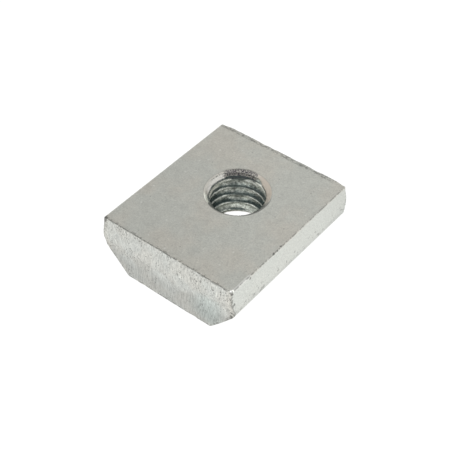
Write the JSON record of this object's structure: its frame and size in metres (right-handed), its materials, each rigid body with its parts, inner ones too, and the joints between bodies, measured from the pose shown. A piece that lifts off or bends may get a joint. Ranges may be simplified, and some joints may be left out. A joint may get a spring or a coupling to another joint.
{
  "type": "t-nut",
  "caption": "Short chamfered steel block that slides along a slotted profile and pulls up against the slot's lips, with an off-centre tapped through hole.",
  "frame": {"origin": "middle of the underside, where the narrow foot rests", "axes": "+Z along the thread, out of the wide clamping face; +Y along the slot, towards the end that is nearer to the hole; X across the slot"},
  "size_m": [0.019, 0.0228, 0.0079],
  "materials": {
    "zinc_steel": "satin zinc plating on drawn bar, with sheared ends and a bare-looking tapped hole"
  },
  "bodies": {
    "root": {"t_nut": "zinc_steel"}
  },
  "joints": []
}
